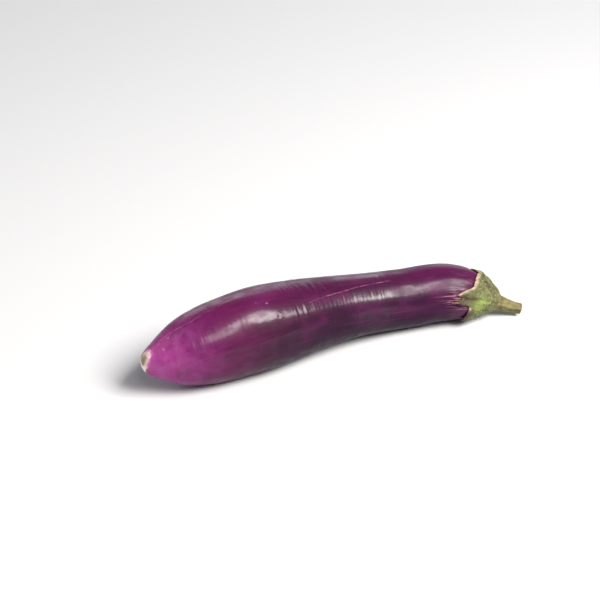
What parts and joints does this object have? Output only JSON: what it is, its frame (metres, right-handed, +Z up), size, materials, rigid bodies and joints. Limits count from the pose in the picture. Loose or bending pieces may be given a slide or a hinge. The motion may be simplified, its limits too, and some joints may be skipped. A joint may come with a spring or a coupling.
{
  "type": "eggplant",
  "caption": "Long purple eggplant lying on its side, fatter towards the blossom end, with its green calyx and cut stem.",
  "frame": {"origin": "middle of the footprint, at the level the fruit lies on", "axes": "+X along the fruit towards the stem, +Y to its left, +Z up"},
  "size_m": [0.245, 0.0554, 0.0491],
  "materials": {
    "skin": "thin waxy gloss over purple skin",
    "calyx": "dull, leathery and slightly ribbed",
    "stem": "dull and fibrous"
  },
  "bodies": {
    "root": {"fruit": "skin", "calyx": "calyx", "stem": "stem"}
  },
  "joints": []
}
